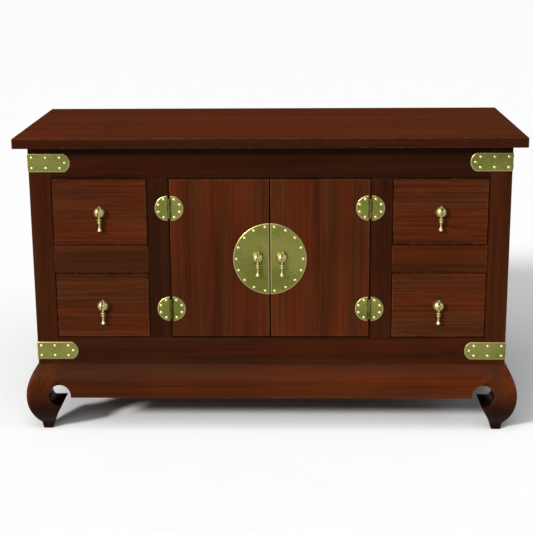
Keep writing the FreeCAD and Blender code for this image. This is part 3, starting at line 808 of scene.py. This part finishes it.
# %% Doors, drawer fronts and drawer boxes
# Painted shade along the top edge of each drawer front, below the rail or divider above it.
drawer_top_shade = {"depth": 4.0 * mm, "amount": 0.45}
drawer_grains = ("y", "y", "x", "x")
for side in ("left", "right"):
    boards(f"{side}_door_panel", mahogany["z"], ease=1.2, tone=-0.02, planks=2)
    for level in ("upper", "lower"):
        drawer = f"{level}_{side}_drawer"
        front_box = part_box(f"{drawer}_front")
        front = boards(f"{drawer}_front", lined_wood, ease=1.2, boxes=[front_box])
        shaded_beside(front, Z, [front_box[1].z], **drawer_top_shade)
        parts = []
        for box, grain in zip(solids(f"{drawer}_box"), drawer_grains):
            low, high = trimmed(box, Y, front_box[1].y, box[1].y)
            part = stained(board(low, high, ease=0.8 * mm), tone=0.0)
            parts.append(coated(part, inner_wood[grain]))
        finished(f"{drawer}_box", parts)
print("boards with doors and drawers:", board_count)

# %% [markdown]
# ## Inside
# Behind the doors are two partitions and a shelf on cleats. The floor, the runners, the stop strip, the
# dowels, the hinge pins and the steel catches are already the right shape in CAD, so those nodes stay and
# only get a finish.

# %% Inner boards and the nodes that stay
boards("partitions", inner_wood["z"], ease=0.6, planks=3, across=Y)
boards("cupboard_shelf", inner_wood["x"], ease=1.0, planks=3, across=Y)
boards("shelf_cleats", inner_wood["y"], ease=0.8, tone=-0.1)
boards("drawer_stops", inner_wood["z"], ease=0.8, tone=-0.1)
kept_nodes = [
    (inner_wood["x"], ["bottom_board", "door_stop_strip"]),
    (inner_wood["y"], ["drawer_runners"]),
    (inner_wood["z"], ["leg_dowels"]),
    (knuckle_brass, ["hinge_pins"]),
    (steel, ["door_magnets", "left_door_strike", "right_door_strike"]),
]
for finish, nodes in kept_nodes:
    for node in nodes:
        frame["nodes"][node].material_slots[0].material = finish
print("boards in all:", board_count, "and nodes kept:", sum(len(nodes) for _, nodes in kept_nodes))

# %% [markdown]
# ## Legs
# Each leg bows out from under its post and curls in to a hoof. On the bench it is sawn twice, from the
# front and from the side, so at every height it is square. The leg is therefore drawn up from the floor as
# a stack of squares: a plane is extruded from one height to the next and resized each time. The squares
# come from the outlines: an arc outside, a hook of a circle inside, and a tapered pad at the floor. Last
# the corners are rounded, the outer one most.

# %% Outline of the leg and apron
leg_low, leg_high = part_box("leg_front_right")
bow_depth = leg_high.x - half_width
pad_height, pad_taper, pad_inset = 16.0 * mm, 2.5 * mm, 26.0 * mm
hoof_rise, hoof_inset = 25.0 * mm, 34.0 * mm
hook_radius, hook_inset, hook_height = 27.0 * mm, 54.0 * mm, 97.0 * mm
hook_top = hook_height + hook_radius
tip_inset = half_width - leg_low.x
tip_height = hook_height - math.sqrt(hook_radius ** 2 - (tip_inset - hook_inset) ** 2)
bow_middle = (base_top + pad_height) / 2
bow_half = (base_top - pad_height) / 2
bow_radius = (bow_half ** 2 + bow_depth ** 2) / (2 * bow_depth)
hoof_steps, hook_steps, crown_steps = 6, 14, 5


def bow(height):
    """How far the base stands out past the carcass at a height."""
    return math.sqrt(bow_radius ** 2 - (height - bow_middle) ** 2) - (bow_radius - bow_depth)


def shares(steps, first=1):
    """The shares of a way that is walked in equal steps, from the first step taken to the whole."""
    return [step / steps for step in range(first, steps + 1)]


def part_way(start, end, share):
    return start + (end - start) * share


def leg_sections():
    """Heights up the leg, each with the insets of its outer and inner faces."""
    inside = []
    for share in shares(hoof_steps, first=0):
        inside.append((part_way(hoof_rise, tip_height, share), part_way(hoof_inset, tip_inset, share)))
    for share in shares(hook_steps, first=2):
        down, out = hook_radius * math.cos(math.pi * share), hook_radius * math.sin(math.pi * share)
        inside.append((hook_height - down, hook_inset - out))
    inside += [(part_way(hook_top, base_top, share), hook_inset) for share in shares(crown_steps)]
    pad_top_inset = part_way(pad_inset, hoof_inset, pad_height / hoof_rise)
    pad = [(0.0, pad_taper, pad_inset), (pad_height, 0.0, pad_top_inset)]
    return pad + [(height, -bow(height), inset) for height, inset in inside]


print("the leg bows out", round(bow_depth / mm), "mm on a radius of", round(bow_radius / mm), "mm")

# %% Draw a stack of level sections
def stack(rectangles, cuts=0):
    """A solid drawn up through level rectangles, each given as its lowest and highest corner."""
    low, high = rectangles[0]
    let_go()
    bpy.ops.mesh.primitive_plane_add(size=1.0, location=(low + high) / 2)
    part = started((high.x - low.x, high.y - low.y, 1.0))
    if cuts:
        bpy.ops.mesh.subdivide(number_cuts=cuts)
    for last, new in zip(rectangles, rectangles[1:]):
        draw_out(*(middle_of(new) - middle_of(last)))
        size, new_size = last[1] - last[0], new[1] - new[0]
        grow = (new_size.x / size.x, new_size.y / size.y, 1.0)
        bpy.ops.transform.resize(value=grow, center_override=middle_of(new))
    face_outwards()
    return part


print("the leg is a stack of", len(leg_sections()), "squares")

# %% Shade of the base
# Painted shade on the base: along its top, towards the floor on the feet, and in the hollow of the hook.
shoulder_dark, shoulder_depth = 0.38, 34.0 * mm
foot_dark, hollow_dark, hollow_skin = 0.85, 0.92, 0.3 * mm


def shoulder_shade(vertex):
    """Paints shade along the top of the base, where its face turns up under the rail."""
    return shoulder_dark * max(1.0 - (base_top - vertex.co.z) / shoulder_depth, 0.0)


def foot_shade(vertex):
    """Paints shade on the feet, darker towards the floor, and in the hollow of the hook."""
    low, high = tip_height - hoof_rise, hook_top
    height = min(max((vertex.co.z - low) / (high - low), 0.0), 1.0)
    foot = foot_dark * (1.0 - height * height * (3.0 - 2.0 * height))
    reaches = (half_width - hook_inset - vertex.co.x, vertex.co.y - front_face - hook_inset)
    from_hook = min(math.hypot(reach, vertex.co.z - hook_height) for reach in reaches)
    in_hook = from_hook < hook_radius + hollow_skin
    return max(foot, hollow_dark * in_hook, shoulder_shade(vertex))


print("the feet darken below", round(hook_top / mm), "mm")

# %% Legs
outer_round, inner_round = 4.0 * mm, 1.5 * mm
corner_reach = 0.05 * mm


def round_corners(part, corners, top, radius, segments):
    """Rounds the edges that run up from corner to corner below a height, and gives their points' places."""
    def on_corner(place):
        return min((corner - place).length for corner in corners) < corner_reach

    def wanted(edge):
        start, end = (vertex.co for vertex in edge.verts)
        rises = abs(start.z - end.z) > corner_reach and max(start.z, end.z) < top
        return rises and on_corner(start) and on_corner(end)

    pick("EDGE", wanted)
    bpy.ops.mesh.bevel(offset=radius, segments=segments, affect="EDGES")
    return {spot(vertex) for vertex in picked(part)}


def leg():
    """The front right leg."""
    squares, outer_corners, inner_corners = [], [], []
    for height, outer, inner in leg_sections():
        low = Vector((half_width - inner, front_face + outer, height))
        high = Vector((half_width - outer, front_face + inner, height))
        squares.append((low, high))
        outer_corners.append(Vector((high.x, low.y, height)))
        inner_corners += [low, high, Vector((low.x, high.y, height))]
    part = stack(squares, cuts=2)
    rounded = round_corners(part, outer_corners, leg_high.z + mm, outer_round, segments=3)
    rounded |= round_corners(part, inner_corners, hook_top, inner_round, segments=2)
    close_up()
    wear_light_and_shade(part, lambda vertex: spot(vertex) in rounded)
    # Painted shade on the feet, in the hollow of the hook and along the top of the leg.
    wear_light_and_shade(part, foot_shade, "shade")
    return smooth(part)


first_leg = leg()
unmoved = Matrix.Identity(4)
for end, to_end in (("front", unmoved), ("rear", mirror_y)):
    for side, to_side in (("right", unmoved), ("left", mirror_x)):
        twin = stained(copy_of(first_leg, to_side @ to_end), tone=0.08)
        finished(f"leg_{end}_{side}", [twin], mahogany["z"])
print("each leg has", len(first_leg.data.polygons), "faces")
scrap(first_leg)

# %% [markdown]
# ## Aprons
# The apron between the legs is bowed like them, so it is the same kind of stack: level rectangles whose
# front edge follows the bow. At both ends the hook's circle goes on into the apron as a quarter round, so
# the lower rectangles are shorter. The lower front arris is softened, because it is what hands meet.

# %% Front, rear and side aprons
apron_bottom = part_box("front_apron")[0].z
apron_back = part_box("front_apron")[1].y
apron_end = half_width - hook_inset
side_apron_end = -front_face - hook_inset
lower_round, lower_reach = 2.5 * mm, 0.1 * mm
quarter_steps, upper_steps = 7, 4


def apron(half_length):
    """An apron along X whose bowed face looks to the front."""
    heights = [apron_bottom, hook_height]
    turns = [math.pi / 2 * share for share in shares(quarter_steps)]
    heights += [hook_height + hook_radius * math.sin(turn) for turn in turns]
    heights += [part_way(hook_top, base_top, share) for share in shares(upper_steps)]
    rectangles = []
    for height in heights:
        rise = min(height, hook_top) - hook_height
        end = half_length - math.sqrt(max(hook_radius ** 2 - rise ** 2, 0.0))
        low = Vector((-end, front_face - bow(height), height))
        rectangles.append((low, Vector((end, apron_back, height))))
    part = stack(rectangles)
    pick("EDGE", lambda edge: all(vertex.co.z < apron_bottom + lower_reach for vertex in edge.verts))
    bpy.ops.mesh.bevel(offset=lower_round, segments=3, affect="EDGES")
    close_up()
    wear_light_and_shade(part, lambda vertex: vertex.co.z < apron_bottom + lower_round)
    # Painted shade along the top of the apron.
    wear_light_and_shade(part, shoulder_shade, "shade")
    return smooth(part)


long_apron, short_apron = apron(apron_end), apron(side_apron_end)
onto_right = Matrix.Translation((half_width + front_face, 0, 0)) @ Matrix.Rotation(math.pi / 2, 4, "Z")
apron_copies = {
    "front_apron": ("x", [copy_of(long_apron, unmoved)]),
    "rear_apron": ("x", [copy_of(long_apron, mirror_y)]),
    "side_aprons": ("y", [copy_of(short_apron, onto_right), copy_of(short_apron, mirror_x @ onto_right)]),
}
for node, (grain, parts) in apron_copies.items():
    finished(node, [stained(part, tone=-0.12) for part in parts], mahogany[grain])
scrap(long_apron, short_apron)
print("aprons from", round(apron_bottom / mm), "to", round(base_top / mm), "mm high")

# %% [markdown]
# ## Pressed plates
# The lock plate and the hinge leaves are half-round plates of thin brass with a bevelled rim that shines.
# A filled circle is cut with bisect along the split, extruded to the height of its edge, inset by the
# width of the bevel and raised. Two more insets keep the field flat and mark off the bright rim.

# %% Half-round plates
lock_plate_low, lock_plate_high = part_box("left_door_lock_plate")
plate_thickness = lock_plate_high.y - lock_plate_low.y
plate_edge = 0.6 * mm
rim_width, field_band = 1.6 * mm, 1.0 * mm
facing_front = (math.pi / 2, 0, 0)


def flat_field(part):
    """Insets the raised face twice more, and gives the numbers of the points round its field."""
    bpy.ops.mesh.inset(thickness=hold)
    bpy.ops.mesh.inset(thickness=field_band)
    return {vertex.index for vertex in picked(part)}


def half_plate(centre, radius, cut, side, points, dull=0.0):
    """A round plate that looks to the front, on one side of an upright cut, dull for a width beside it."""
    part = disc(points, radius, centre, facing_front)
    bpy.ops.mesh.bisect(plane_co=(cut, 0, 0), plane_no=(side, 0, 0), clear_inner=True, threshold=fine)
    select_mesh()
    draw_out(0, -plate_edge, 0)
    bpy.ops.mesh.inset(thickness=rim_width)
    bpy.ops.transform.translate(value=(0, plate_edge - plate_thickness, 0))
    field = flat_field(part)
    face_outwards()
    close_up()
    wear_light_and_shade(part, lambda vertex: vertex.index not in field and abs(vertex.co.x - cut) >= dull)
    return smooth(part)


for side, sign in (("left", -1), ("right", 1)):
    node = f"{side}_door_lock_plate"
    low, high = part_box(node)
    cut = high.x if sign < 0 else low.x
    centre = Vector((0.0, high.y, (low.z + high.z) / 2))
    plate = half_plate(centre, (high.z - low.z) / 2, cut, sign, points=128)
    finished(node, [plate], plate_brass)
print("lock plate", round((high.z - low.z) / mm), "mm across")

# %% [markdown]
# ## Hinges
# A face hinge has two half-moon leaves joined by a knuckled barrel. Each leaf is a half plate; each knuckle
# is a short cylinder, drawn as a circle that is extruded, with its ends bevelled. The barrel is a darker
# brass and the leaves are dull beside it, so it reads as a dark line between them.

# %% Turn a solid about an upright axis
bar_points = 20


def turned(profile, points):
    """A solid turned about the upright axis through the origin, from (radius, height) up its side."""
    radius, height = profile[0]
    part = disc(points, radius, (0, 0, height))
    for next_radius, next_height in profile[1:]:
        draw_out(0, 0, next_height - height)
        if next_radius == 0:
            bpy.ops.mesh.merge(type="CENTER")
            break
        grow = next_radius / radius
        bpy.ops.transform.resize(value=(grow, grow, 1.0), center_override=(0, 0, next_height))
        radius, height = next_radius, next_height
    face_outwards()
    close_up()
    return smooth(part)


def rod(radius, low, high, ease, points=bar_points):
    """A round bar with bevelled ends."""
    end = radius - ease
    return turned([(end, low), (radius, low + ease), (radius, high - ease), (end, high)], points)


print("round bars have", bar_points, "sides")

# %% Hinge leaves and their knuckles
pins = solids("hinge_pins")
barrel_radius, knuckle_gap, knuckle_ease = 3.0 * mm, 0.25 * mm, 0.4 * mm
web_thickness, web_ease, web_overlap = 1.2 * mm, 0.15 * mm, 1.0 * mm
leaf_edge, leaf_dull = 3.6 * mm, 2.5 * mm
barrel_length = pins[0][1].z - pins[0][0].z
knuckle = (barrel_length - 2 * knuckle_gap) / 3
middle_knuckle = [(-knuckle / 2, knuckle / 2)]
outer_knuckles = [
    (-barrel_length / 2, -knuckle / 2 - knuckle_gap),
    (knuckle / 2 + knuckle_gap, barrel_length / 2),
]


def hinge_leaves(node, knuckles, out):
    """The leaves of a node. The plate lies on one side of its pin: outwards from the door for out = 1."""
    parts = []
    for low, high in solids(node):
        middle_z = (low.z + high.z) / 2
        axis = middle_of(min(pins, key=lambda pin: (pin[0] - low).length))
        side = out if axis.x > 0 else -out
        cut = axis.x + side * leaf_edge
        centre = Vector((cut, front_face, middle_z))
        plate = half_plate(centre, (high.z - low.z) / 2, cut, side, points=48, dull=leaf_dull)
        parts.append(coated(plate, plate_brass))
        web_back = axis.y + barrel_radius
        web_left, web_right = sorted((axis.x, cut + side * web_overlap))
        for start, end in knuckles:
            barrel = moved(rod(barrel_radius, start, end, knuckle_ease), Matrix.Translation(axis))
            web_low = Vector((web_left, web_back - web_thickness, middle_z + start))
            web_high = Vector((web_right, web_back, middle_z + end))
            web = board(web_low, web_high, web_ease)
            parts += [coated(barrel, knuckle_brass), coated(web, knuckle_brass)]
    return finished(node, parts)


hinge_leaves("hinge_frame_leaves", outer_knuckles, out=1)
hinge_leaves("left_door_hinge_leaves", middle_knuckle, out=-1)
hinge_leaves("right_door_hinge_leaves", middle_knuckle, out=-1)
print("hinges:", len(pins), "with knuckles", round(knuckle / mm, 1), "mm long")

# %% [markdown]
# ## Corner straps
# A strap is a strip of brass folded round the front corner, with a bowed nose at each end. Half of it is
# drawn on the front: a circle is cut down to the nose, its straight edge is pulled out to the corner, and
# spin carries it halfway round the bend. A mirror across the corner's diagonal gives the other half.

# %% Draw half a strap
strap_low, strap_high = solids("corner_straps")[0]
strap_thickness = front_face - strap_low.y
strap_half = (strap_high.z - strap_low.z) / 2
strap_nose, nose_points = 14.0 * mm, 72
bend_radius = 3.0 * mm
nose_radius = (strap_half ** 2 + strap_nose ** 2) / (2 * strap_nose)
seam = 0.02 * mm


def half_strap(middle):
    """The skin of the strap from its nose on the front to the middle of the bend."""
    skin = front_face - plate_edge
    corner = half_width + plate_edge
    shoulder = strap_low.x + strap_nose
    half = disc(nose_points, nose_radius, (strap_low.x + nose_radius, skin, middle), facing_front)
    bpy.ops.mesh.bisect(plane_co=(shoulder, 0, 0), plane_no=(1, 0, 0), clear_outer=True, threshold=fine)
    pick("EDGE", lambda edge: all(abs(vertex.co.x - shoulder) < near for vertex in edge.verts))
    draw_out(corner - bend_radius - shoulder, 0, 0)
    bend = (corner - bend_radius, skin + bend_radius, middle)
    bpy.ops.mesh.spin(steps=3, angle=math.pi / 4, center=bend, axis=(0, 0, -1))
    close_up()
    return half


print("the strap's nose has a radius of", round(nose_radius / mm, 1), "mm")

# %% Fold the straps round the corners
swap_axes = Matrix(((0, -1, 0, 0), (-1, 0, 0, 0), (0, 0, 1, 0), (0, 0, 0, 1)))
to_corner = Matrix.Translation((half_width, front_face, 0))
over_diagonal = to_corner @ swap_axes @ to_corner.inverted()


def strap(middle):
    """The strap on the right front corner at a height."""
    half = half_strap(middle)
    take(half, copy_of(half, over_diagonal))
    bpy.ops.object.join()
    open_up(half)
    bpy.ops.mesh.remove_doubles(threshold=seam)
    bpy.ops.mesh.normals_make_consistent(inside=False)
    front = min(bmesh.from_edit_mesh(half.data).faces, key=lambda face: face.calc_center_median().y)
    if front.normal.y > 0:
        bpy.ops.mesh.flip_normals()
    bpy.ops.mesh.inset(thickness=rim_width)
    bpy.ops.transform.shrink_fatten(value=strap_thickness - plate_edge)
    field = flat_field(half)
    close_up()
    wear_light_and_shade(half, lambda vertex: vertex.index not in field)
    applied(half, "sheet", "SOLIDIFY", thickness=plate_edge, offset=-1.0)
    return smooth(half)


straps = []
for box in solids("corner_straps"):
    if side_of(box) > 0:
        part = strap(middle_of(box).z)
        straps += [part, copy_of(part, mirror_x)]
finished("corner_straps", straps, plate_brass)
print("straps:", len(straps))

# %% [markdown]
# ## Studs
# Every plate is fixed with dome-headed studs. One dome is turned with few faces and copied to every place.
# The places are read from the frame: a stud's crown is the point that stands furthest out of its plate.

# %% Stud domes
stud_radius, stud_height = 4.0 * mm, 2.5 * mm
stud_profile = [
    (stud_radius, -0.1 * mm), (stud_radius, 0.25 * mm), (3.55 * mm, 1.1 * mm), (2.6 * mm, 1.85 * mm),
    (1.35 * mm, 2.35 * mm), (0, stud_height),
]
crown_depth = 0.02 * mm
stud = turned(stud_profile, points=16)


def crowns(node, axis, sign):
    """Where the studs of a node stand furthest out along an axis, one place for each crown."""
    mesh = frame["nodes"][node].data
    furthest = max(sign * vertex.co[axis] for vertex in mesh.vertices)
    tops = {}
    for vertex in mesh.vertices:
        if sign * vertex.co[axis] > furthest - crown_depth:
            tops.setdefault(tuple(round(c, 3) for c in vertex.co), vertex.co.copy())
    return list(tops.values())


def studs(node, looks):
    """The studs of a node, for the directions in which they look."""
    parts = []
    for axis, sign in looks:
        way = along(axis) * sign
        turn = way.to_track_quat("Z", "Y").to_matrix().to_4x4()
        for crown in crowns(node, axis, sign):
            # Painted light and shade: each stud is bright where it looks up and dark where it looks down.
            parts.append(shaded_below(copy_of(stud, Matrix.Translation(crown - way * stud_height) @ turn)))
    print(node, len(parts))
    return finished(node, parts, stud_brass)


studs("frame_studs", [(Y, -1), (X, 1), (X, -1)])
studs("left_door_studs", [(Y, -1)])
studs("right_door_studs", [(Y, -1)])
scrap(stud)

# %% [markdown]
# ## Drop pulls
# A pull is a brass ball on a threaded stem, split by an upright slot. A cross pin in the slot carries the
# drop, a small turned baluster with a bell at its end. The ball is a sphere cut flat against its board and
# slotted with a Boolean; the drop is turned up its profile, and its tongue is a circle whose lower half is
# pulled down to the collar.

# %% The slotted ball
ball_radius, ball_standoff = 14.0 * mm, 4.0 * mm
slot_width, slot_floor, slot_ease, slot_round = 5.4 * mm, 3.0 * mm, 0.3 * mm, 0.35 * mm
sharp_angle = math.radians(50)


def softened(part, width):
    """Bevels the sharp edges of a part."""
    return applied(part, "soft_edges", "BEVEL", width=width, segments=2, angle_limit=sharp_angle)


def slotted_ball():
    """The ball about the middle of its seat, with its slot to the front."""
    let_go()
    bpy.ops.mesh.primitive_uv_sphere_add(
        segments=48, ring_count=24, radius=ball_radius, location=(0, -ball_standoff, 0))
    ball = started()
    bpy.ops.mesh.bisect(
        plane_co=(0, 0, 0), plane_no=(0, 1, 0), clear_outer=True, use_fill=True, threshold=fine)
    close_up()
    room = 2 * ball_radius
    saw_low = Vector((-slot_width / 2, -room, -room))
    saw_high = Vector((slot_width / 2, -slot_floor, room))
    saw = board(saw_low, saw_high, slot_ease)
    applied(ball, "slot", "BOOLEAN", object=saw, operation="DIFFERENCE", solver="EXACT")
    scrap(saw)
    return smooth(softened(ball, slot_round))


# Painted light and shade on the ball: bright where it looks up, dark where it looks down.
ball = shaded_below(slotted_ball())
print("the ball has", len(ball.data.polygons), "faces")

# %% Ball, pin, stem and nut
stem_radius, stem_spare, pin_standoff = 3.0 * mm, 2.0 * mm, 9.0 * mm
pin_ease, stem_ease, nut_ease = 0.3 * mm, 0.4 * mm, 0.5 * mm
to_back = Matrix.Rotation(-math.pi / 2, 4, "X")
to_right = Matrix.Rotation(math.pi / 2, 4, "Y")
flat_up = Matrix.Rotation(math.pi / 6, 4, "Z")


def pull_mount(node):
    """The ball, cross pin, stem and nut of one pull."""
    pin_box, (nut_low, nut_high) = solids(node)[1:]
    pin_low, pin_high = pin_box
    seat = middle_of(pin_box) + Vector((0.0, pin_standoff, 0.0))
    half_pin = (pin_high.x - pin_low.x) / 2
    pin = rod((pin_high.z - pin_low.z) / 2, -half_pin, half_pin, pin_ease, points=16)
    moved(pin, Matrix.Translation(middle_of(pin_box)) @ to_right)
    stem_start, stem_end = seat.y - slot_floor / 2, nut_high.y + stem_spare
    stem = rod(stem_radius, 0.0, stem_end - stem_start, stem_ease)
    moved(stem, Matrix.Translation((seat.x, stem_start, seat.z)) @ to_back)
    nut = rod((nut_high.x - nut_low.x) / 2, 0.0, nut_high.y - nut_low.y, nut_ease, points=6)
    moved(nut, Matrix.Translation((seat.x, nut_low.y, seat.z)) @ to_back @ flat_up)
    return finished(node, [copy_of(ball, Matrix.Translation(seat)), pin, stem, nut], pull_brass)


pulls = [name for name in body_of if name.endswith("_pull_mount")]
for node in pulls:
    pull_mount(node)
scrap(ball)
print("pulls:", len(pulls))

# %% The drop
drop_profile = [
    (1.7, -46.0), (3.6, -45.5), (5.2, -44.7), (6.1, -43.95), (6.4, -43.4), (6.0, -42.9), (4.98, -41.5),
    (4.17, -40.0), (3.36, -38.0), (2.82, -36.0), (2.53, -34.0), (2.5, -31.5), (2.5, -25.4), (2.9, -24.8),
    (5.5, -24.5), (6.0, -23.9), (6.0, -22.6), (5.5, -22.0), (3.5, -21.8), (3.2, -21.0), (3.2, -19.4),
    (3.6, -18.7), (5.7, -18.5), (6.2, -17.9), (6.2, -16.1), (5.7, -15.5),
]
tongue_width, tongue_reach, tongue_round, eye_radius = 4.6 * mm, 12.6 * mm, 0.4 * mm, 4.0 * mm
lower_share, tongue_points = 0.7, 28
facing_side = (0, math.pi / 2, 0)


def drop():
    """A drop about its cross pin, hanging down."""
    baluster = turned([(radius * mm, height * mm) for radius, height in drop_profile], points=32)
    tongue = disc(tongue_points, eye_radius, (-tongue_width / 2, 0, 0), facing_side)
    pick("VERT", lambda vertex: vertex.co.z < -lower_share * eye_radius)
    bpy.ops.transform.translate(value=(0, 0, -tongue_reach))
    select_mesh()
    draw_out(tongue_width, 0, 0)
    face_outwards()
    close_up()
    softened(tongue, tongue_round)
    applied(baluster, "tongue", "BOOLEAN", object=tongue, operation="UNION", solver="EXACT")
    scrap(tongue)
    return smooth(baluster)


# Painted light and shade on the drop: bright where it looks up, dark where it looks down.
first_drop = shaded_below(drop())
for node in pulls:
    pin_box = solids(node)[1]
    name = node.replace("_pull_mount", "_drop")
    finished(name, [copy_of(first_drop, Matrix.Translation(middle_of(pin_box)))], pull_brass)
print("each drop has", len(first_drop.data.polygons), "faces")
scrap(first_drop)

# %% [markdown]
# ## Measure and finish
# The box of the visual model is printed, in millimetres.

# %% Size and finish
low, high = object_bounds()
print("visual box", [round(c / mm, 1) for c in low], [round(c / mm, 1) for c in high])
